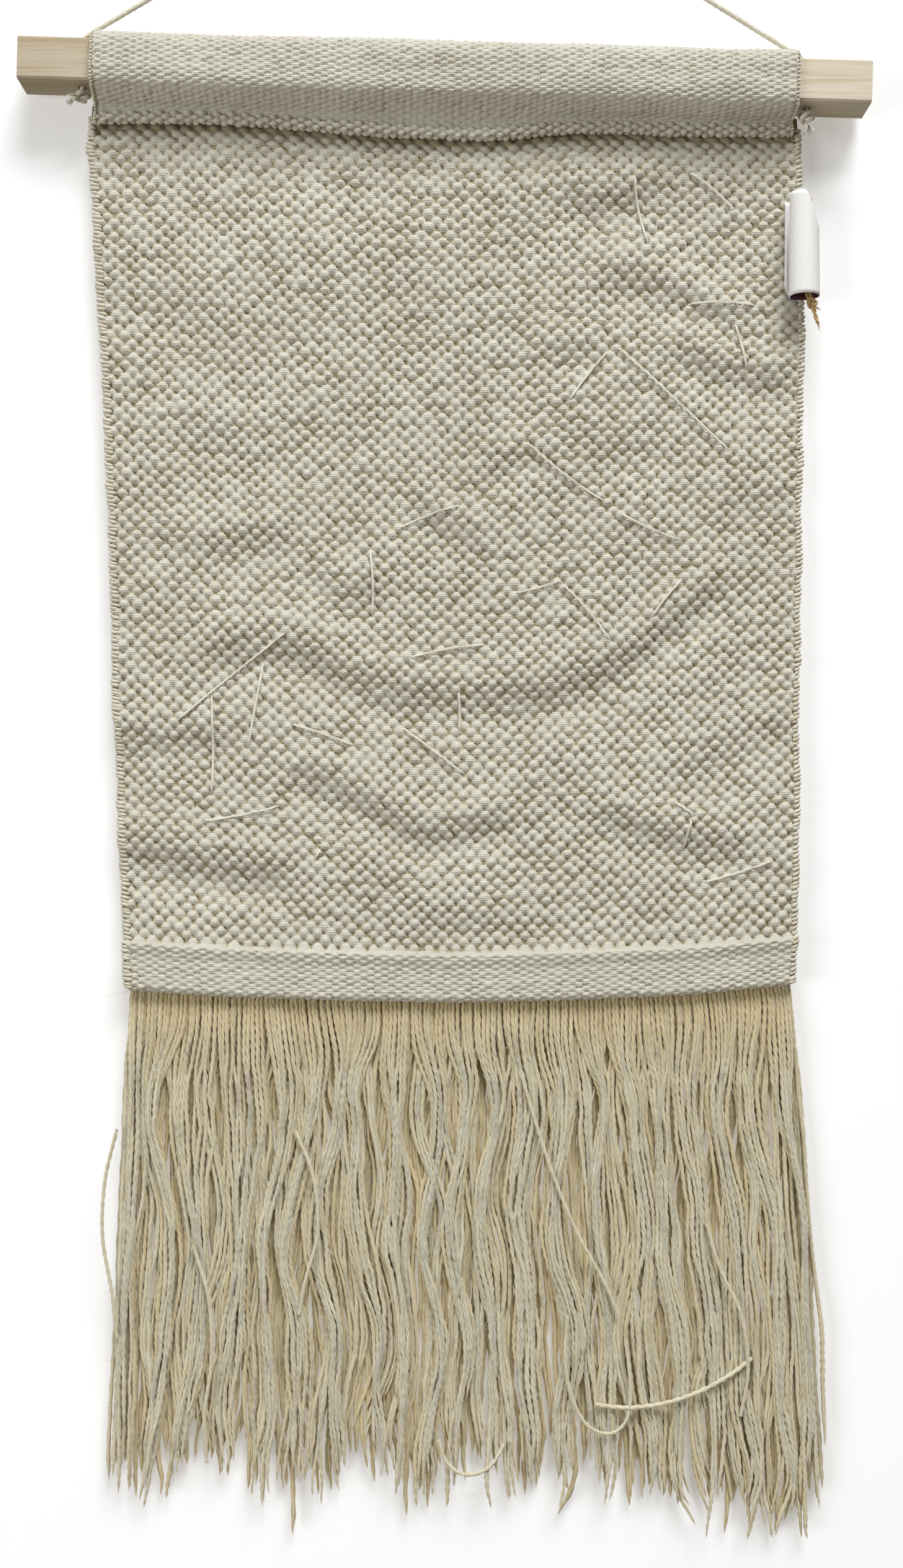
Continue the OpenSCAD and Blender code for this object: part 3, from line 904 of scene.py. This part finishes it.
def make_accents():
    """Long white stitches: two fine strands side by side, that dip in at each end."""
    rng = np.random.default_rng(53)
    made = Pieces()
    for x, z, length, direction in ACCENTS:
        a = math.radians(direction)
        along, aside = np.array([math.cos(a), math.sin(a)]), np.array([-math.sin(a), math.cos(a)])
        t = np.linspace(-0.5, 0.5, max(12, int(length / 1.4)))
        bow = rng.uniform(-1, 1) * length * 0.035
        for strand in range(2):
            off = (strand - 0.5) * 0.36 * (1 - (2 * t) ** 4) + rng.uniform(-0.05, 0.05)
            sway = bow * (1 - 4 * t * t) + off + 0.12 * noise(t * 6, strand, 54 + strand)
            line = np.array([x, z]) + along * (t * length)[:, None] + aside * sway[:, None]
            dip = smooth((np.abs(t) - (0.5 - 2.2 / length)) / (2.2 / length))
            depth = 4.1 + swell(line[:, 0], line[:, 1]) - 1.75 + 2.4 * dip
            depth = depth + 0.1 * noise(t * length / 5, strand, 55)
            path = np.stack([line[:, 0], depth, line[:, 1]], -1)
            made.add(tube(path, 0.3, 6, across=(0, 1, 0)), 0.0)
    threads = made.build("accent_threads", THREAD)
    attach(threads, "panel")
    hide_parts("accent_stitches")


def sewn_line(made, ends, outward, rng, length=3.6, pitch=6.0, r=0.3):
    """A running stitch from one end to the other: each stitch arches over the cloth."""
    a, b = (np.array(e, float) for e in ends)
    span = np.linalg.norm(b - a)
    along = (b - a) / span
    t = np.linspace(0, 1, 9)
    for k in range(int(span / pitch)):
        start = a + along * (k * pitch + 1.0 + rng.uniform(-0.3, 0.3))
        arch = np.sin(math.pi * t)[:, None] ** 0.6 * np.array(outward, float) * 0.75
        path = start + along * (t * length)[:, None] + arch - np.array(outward, float) * 0.25
        path[:, 2] += rng.uniform(-0.15, 0.15) + (t - 0.5) * rng.uniform(-0.3, 0.3)
        made.add(tube(path, r, 6, across=outward), rng.uniform(0, 0.2))


def make_sewing():
    rng = np.random.default_rng(59)
    seam = Pieces()
    sewn_line(seam, (on_batten(-146, 8.3, -19.8), on_batten(146, 8.3, -19.8)), (0, 1, 0), rng)
    piece = seam.build("pocket_sewing", THREAD)
    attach(piece, "pocket")
    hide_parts("pocket_seam_thread")
    hem = Pieces()
    for x0, x1 in ((-130, -60), (-60, 12), (12, 84), (84, 153)):
        za, zb = (float(along(x, FOLD)) + 20.6 for x in (x0, x1))
        ya, yb = (7.35 + float(swell(x, -482)) for x in (x0, x1))
        sewn_line(hem, ((x0, ya, za), (x1, yb, zb)), (0, 1, 0), rng)
    piece = hem.build("hem_sewing", THREAD)
    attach(piece, "panel")
    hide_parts("hem_seam_thread")
    tape = Pieces()
    sewn_line(tape, ((-127, 10.0, -491.2), (151, 10.0, -491.2)), (0, 1, 0), rng)
    piece = tape.build("tape_sewing", THREAD)
    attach(piece, "panel")
    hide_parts("fringe_seam_thread")


def make_tape():
    """A narrow woven tape over the yarns' tops, behind the hem."""
    section = through([(7.0, -486.6), (8.6, -486.4), (9.5, -487.2), (9.75, -489), (9.7, -493),
                       (9.75, -497), (9.4, -499), (8.4, -500.2), (7.2, -500.6)], 2.4)
    x = np.linspace(-131.5, 155.5, 420)
    rib = 0.14 * np.sin(x[None] * 2 * math.pi / 2.1 + np.arange(len(section))[:, None] * math.pi * 0.5)
    sag = 0.6 * noise(x[None] / 60, 4.2, 66)
    ends = np.minimum(x - x[0], x[-1] - x)[None]
    y = section[:, 0][:, None] + rib - 1.6 * (1 - smooth(ends / 2.5))
    z = section[:, 1][:, None] + sag
    points = np.stack([x[None] + 0 * y, y, z + 0 * y], -1).reshape(-1, 3)
    places = np.stack([x[None] / 2 + 0 * y, section[:, 1][:, None] + 0 * y], -1).reshape(-1, 2)
    tape = make_mesh("header_tape", points, grid_quads(len(section), len(x)), TAPE, places,
                     np.full(len(points), 0.1))
    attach(tape, "panel")
    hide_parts("fringe_header")


make_accents()
make_sewing()
make_tape()


# ---------------------------------------------------------------- the wool fringe

# The line of the fringe's foot from side to side
TIP_X = [-137, -123, -106, -89, -69, -52, -38, -25, -6, 16, 30, 50, 57, 81, 84, 101, 135, 152, 165, 172]
TIP_Z = [-716, -715, -705, -708, -717, -710, -707, -707, -722, -707, -712, -713, -719, -716, -718, -723,
         -731, -738, -728, -712]
LOCKS = 15
YARN_TOP = -490
LOWEST_TIP = -738.5
# The fringe's left side and width, at the hem and at the foot
TOP_LEFT, TOP_WIDTH = -131.5, 286.5
FOOT_LEFT, FOOT_WIDTH = -141.5, 311
# Single yarns that stray over the front, as (x, depth, height)
STRAYS = [
    [(38, 4.6, -536), (44, 3.9, -556), (52, 3.6, -580), (62, 3.5, -604), (74, 3.7, -626), (80, 4.4, -640)],
    [(58, 4.4, -640), (57, 3.6, -660), (60, 3.4, -676), (67, 3.4, -688), (77, 3.4, -691), (84, 3.5, -684),
     (85, 3.6, -668), (83, 4.4, -650)],
    [(70, 4.3, -679), (84, 3.5, -680), (100, 3.3, -678), (115, 3.3, -673), (128, 3.5, -666),
     (138, 4.4, -659)],
    [(2, 4.6, -694), (6, 3.8, -704), (14, 3.6, -709), (24, 3.7, -706), (31, 4.5, -696)],
    [(-137, 4.4, -560), (-142, 3.9, -582), (-143, 3.8, -606), (-139, 3.9, -630), (-137, 4.6, -650)],
    [(-60, 4.6, -560), (-52, 3.8, -580), (-50, 3.7, -604), (-55, 3.9, -624), (-58, 4.6, -640)],
    [(118, 4.6, -600), (124, 3.8, -620), (133, 3.6, -640), (136, 3.8, -664), (133, 4.6, -684)],
    [(-104, 4.6, -610), (-97, 3.8, -634), (-96, 3.7, -660), (-99, 3.9, -684), (-98, 4.2, -704)],
]


def hang(share, layer, z, own, gather):
    """The line of a yarn: it leaves the hem at its share of the width, drifts with its neighbours
    and is drawn towards the middle of its hank. Returns its x at each height z, and how far
    it rides up on its hank."""
    fall = np.clip((-z - 499) / 215, 0, 1.15) ** 0.8

    def spread(s):
        return (TOP_LEFT + TOP_WIDTH * s) * (1 - fall) + (FOOT_LEFT + FOOT_WIDTH * s) * fall

    hanks = 21 + 4 * layer
    shift = 0.37 * layer + 0.25 * float(noise(share * 9, layer, 104))
    mine = math.floor(share * hanks + shift)
    centre = spread((mine + 0.5 - shift) / hanks)
    pull = smooth((-z - 506) / 60) * gather * (0.5 + 0.36 * noise(mine, z / 56, 103 + layer))
    middle = 0.6 - np.clip(abs(share * hanks + shift - mine - 0.5) * 2, 0, 1) ** 2
    x = spread(share)
    x = x + (centre - x) * pull
    drift = (6.0 * noise(x / 29 + 9 * layer, z / 50, 101) + 2.4 * noise(mine * 3.7, z / 44, 115)
             + 2.2 * noise(x / 11, z / 31, 102 + layer) + 1.5 * noise(own * 7.7, z / 21, 110)
             + 0.45 * noise(own * 3.1, z / 7, 111))
    drift = drift * (0.25 + 0.75 * smooth(min(share, 1 - share) / 0.05))
    return x + drift * smooth((-z - 502) / 40), middle * pull


def add_hairs(lock, line, rng):
    """Fine hairs that stand off a front yarn."""
    s = np.linspace(0, 1, 5)[:, None]
    for _ in range(26):
        at = rng.integers(4, len(line) - 2)
        way = np.array([rng.normal(0, 1.0), -abs(rng.normal(0.2, 0.3)), rng.normal(-0.5, 0.9)])
        bend = np.array([rng.normal(0, 1.0), 0, rng.normal(0, 1.0)])
        hair = line[at] - [0, 0.6, 0] + way * s * rng.uniform(1.5, 4.2) + bend * s * s
        hair[:, 1] = np.maximum(hair[:, 1], 2.0)
        lock.add(tube(hair, np.array([0.07, 0.065, 0.055, 0.045, 0.02]), 3), 0.0)


def make_yarn(rng, layer, k, count, depth, spacing, sides, gather, size):
    """One yarn of a layer. Returns its share of the width, its line, its shape and, per point, how far its
    colour is darkened: painted shade deep in the hank."""
    share = float(np.clip((k + 0.5 + rng.uniform(-0.32, 0.32)) / count, 0.002, 0.998))
    tip = np.interp(FOOT_LEFT + FOOT_WIDTH * share, TIP_X, TIP_Z) + 7 + rng.normal(0, 8.5)
    tip += rng.uniform(8, 50) if rng.uniform() < 0.25 else 0
    tip = max(tip, LOWEST_TIP)
    z = np.linspace(YARN_TOP, tip, int((YARN_TOP - tip) / spacing))
    x, rise = hang(share, layer, z, k + 200 * layer, gather)
    free = smooth((-z - 498) / 22)
    wander = 1.0 * noise(x / 11, z / 31, 120 + layer) + 0.75 * noise(k * 3.3, z / 25, 130 + layer)
    y = (7.6 + 0.55 * (layer - 1)) * (1 - free) + free * (depth + 0.7 * wander - 3.0 * rise)
    y = np.clip(y, 3.3, 10.9)
    r = size * rng.uniform(0.86, 1.14) * (1 + 0.12 * noise(z / 9, k * 1.7, 140) + 0.14 * (1 - free))
    thin = rng.uniform(8, 20)
    r = r * (1 - 0.5 * smooth((tip + thin - z) / thin)) * (1 - 0.8 * smooth((tip + 2.5 - z) / 2.5))
    line = np.stack([x, y, z], -1)
    run = run_along(line)
    period, phase = rng.uniform(3.6, 4.6), rng.uniform(0, 6.28)
    # painted shade: the colour darkens towards the wall, round each yarn's back, between its plies and under
    # the hem's shadow; painted light lightens the yarns that ride up on their hank's middle
    turned = 1 - np.clip(-np.sin(around(sides)), 0, 1)
    ply_shade = 0.5 - 0.5 * np.cos(2 * (around(sides)[None] - phase) - 2 * math.pi * run[:, None] / period)
    deep = np.clip((y - 4.7) / 6.0, 0, 1) * 0.5 * smooth(min(share, 1 - share) / 0.04)
    deep = deep - 1.1 * rise + 0.3 * (1 - smooth((-z - 500) / 45))
    deep = deep[:, None] + 0.6 * turned[None] ** 1.3 + 0.35 * ply_shade**2
    shape = tube(line, r, sides, 2, period, 0.17, phase)
    return share, line, shape, np.clip(deep, 0, 1).ravel()


def make_fringe():
    """Three layers of yarns, front to back, sorted into locks by their place at the hem."""
    rng = np.random.default_rng(97)
    locks = [Pieces() for _ in range(LOCKS)]
    # count, depth, spacing of points, sides, how far it gathers into hanks, radius
    layers = [(158, 5.6, 1.0, 6, 0.95, 1.08), (150, 7.0, 2.0, 6, 0.75, 1.08), (200, 9.0, 2.8, 5, 0.1, 1.3)]
    for layer, values in enumerate(layers):
        for k in range(values[0]):
            share, line, shape, deep = make_yarn(rng, layer, k, *values)
            lock = locks[min(LOCKS - 1, int(share * LOCKS))]
            lock.add(shape, deep)
            if layer == 0:
                add_hairs(lock, line, rng)
    for k, points in enumerate(STRAYS):
        shape = tube(through(points, 0.9) - [0, 1.3, 0], 1.15 if k == 2 else 0.9, 8, 2, 4.2, 0.16, k)
        share = (np.mean([p[0] for p in points]) - FOOT_LEFT) / FOOT_WIDTH
        locks[min(LOCKS - 1, max(0, int(share * LOCKS)))].add(shape, 0.0)
    for k, lock in enumerate(locks):
        piece = lock.build(f"yarn_lock_{k + 1}", WOOL)
        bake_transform(piece)
        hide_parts(f"fringe_lock_{k + 1}")


make_fringe()


# ---------------------------------------------------------------- the curled tag and its twine

def make_tag():
    """A strip of card that lies on the cloth and curls forward into a tube."""
    centre, r, card = np.array([159.5, -4.4]), 5.7, 0.4
    flat = np.linspace(0, 1, 10, endpoint=False)
    strip = np.stack([151.6 + flat * 7.9, 1.15 + 0.25 * np.sin(flat * 3)], -1)
    turn = np.radians(np.linspace(90, -205, 72))
    curl = centre + (r + 0.25 * np.linspace(0, 1, 72)[:, None]) * np.stack([np.cos(turn), np.sin(turn)], -1)
    curl[:, 0] = 165.4 + (curl[:, 0] - 165.4) * 1.09
    line = np.vstack([strip, curl])
    ahead = np.gradient(line, axis=0)
    ahead /= np.linalg.norm(ahead, axis=1)[:, None]
    inward = np.stack([ahead[:, 1], -ahead[:, 0]], -1)
    levels = np.linspace(0, 1, 26)
    top = -157.6 - 16.5 * smooth((line[:, 0] - 157.5) / 9) * (line[:, 1] < 2)
    top[:10] = -159.5
    bottom = np.full(len(line), -201.6)
    bottom[:3] = [-195.5, -197.5, -199.5]
    z = top[None] + (bottom - top)[None] * levels[:, None]
    cone = 1 + 0.03 * (levels[:, None, None] - 0.5)
    body = centre + (line - centre)[None] * cone
    outer = np.concatenate([body, z[..., None]], -1)
    inner = np.concatenate([body + inward[None] * card, z[..., None]], -1)
    rows, n = outer.shape[:2]
    points = np.vstack([outer.reshape(-1, 3), inner.reshape(-1, 3)])
    face = grid_quads(rows, n)
    back = face[:, ::-1] + rows * n
    k, j = np.arange(n - 1), np.arange(rows - 1)
    m = rows * n
    rims = [np.stack([k, k + m, k + 1 + m, k + 1], 1),
            np.stack([k + m - n, k + 1 + m - n, k + 1 + 2 * m - n, k + 2 * m - n], 1),
            np.stack([j * n, (j + 1) * n, (j + 1) * n + m, j * n + m], 1),
            np.stack([j * n + n - 1, j * n + n - 1 + m, (j + 1) * n + n - 1 + m, (j + 1) * n + n - 1], 1)]
    quads = np.vstack([face, back] + rims)
    tag = make_mesh("curled_tag", points, quads, CARD)
    tag.data.materials.append(PRINT)
    inner_face = np.zeros(len(quads), np.int32)
    printed = np.tile(np.arange(n - 1) > 2, rows - 1)
    inner_face[len(face):len(face) + len(back)] = printed
    tag.data.polygons.foreach_set("material_index", inner_face)
    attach(tag, "tag")
    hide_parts("hang_tag")


def make_twine():
    """The jute twine from the cloth's edge down through the tag, with a knot at each end."""
    rng = np.random.default_rng(67)
    made = Pieces()
    main = through([(159.0, 3.6, -157.6), (160.4, 0.6, -157.6), (161.5, -4.0, -161), (161.8, -4.6, -175),
                    (161.4, -4.3, -190), (161.2, -4.6, -199), (161.6, -5.0, -203.5), (162.8, -5.2, -208),
                    (164.3, -5.2, -213)], 1.6)
    made.add(tube(main, 0.95, 10, 2, 3.0, 0.2), 0.1)
    t = np.linspace(0, 2 * math.pi, 73)
    for place, size in (((160.2, 0.5, -157.2), 0.5), ((161.9, -5.1, -204.6), 0.8)):
        ring = 1.5 + 0.9 * np.cos(3 * t)
        ball = np.stack([ring * np.cos(2 * t), 1.1 * np.sin(3 * t), ring * np.sin(2 * t)], -1) * size
        thick = 0.72 * size / 0.62 * 0.85
        made.add(tube(ball + np.array(place), thick, 8, 2, 2.0, 0.15, across=(0.2, 1, 0.3)), 0.1)
    second = through([(159.6, -3.6, -196), (159.9, -4.2, -200), (160.6, -4.9, -203.4)], 2.0)
    made.add(tube(second, 0.8, 8, 2, 2.6, 0.2), 0.15)
    # frayed fibres: at its cut end, out of the lower knot and out of the upper knot
    for end, way, count in (((164.2, -5.2, -212.6), (0.45, -0.1, -1), 12),
                            ((162.6, -5.6, -205.6), (0.5, -0.4, -1), 6),
                            ((159.4, 1.6, -156.6), (0.3, 0.4, 1), 5)):
        for _ in range(count):
            s = np.linspace(0, 1, 6)[:, None]
            lean = np.array(way, float) + rng.uniform(-0.45, 0.45, 3)
            path = np.array(end) + lean * s * rng.uniform(1.6, 3.4) + rng.uniform(-0.5, 0.5, 3) * s**2
            made.add(tube(path, np.linspace(0.24, 0.06, 6), 5, across=(0.3, 1, 0.2)), rng.uniform(0, 0.5))
    twine = made.build("jute_twine", JUTE)
    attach(twine, "tag")
    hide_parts("tag_twine")


make_tag()
make_twine()
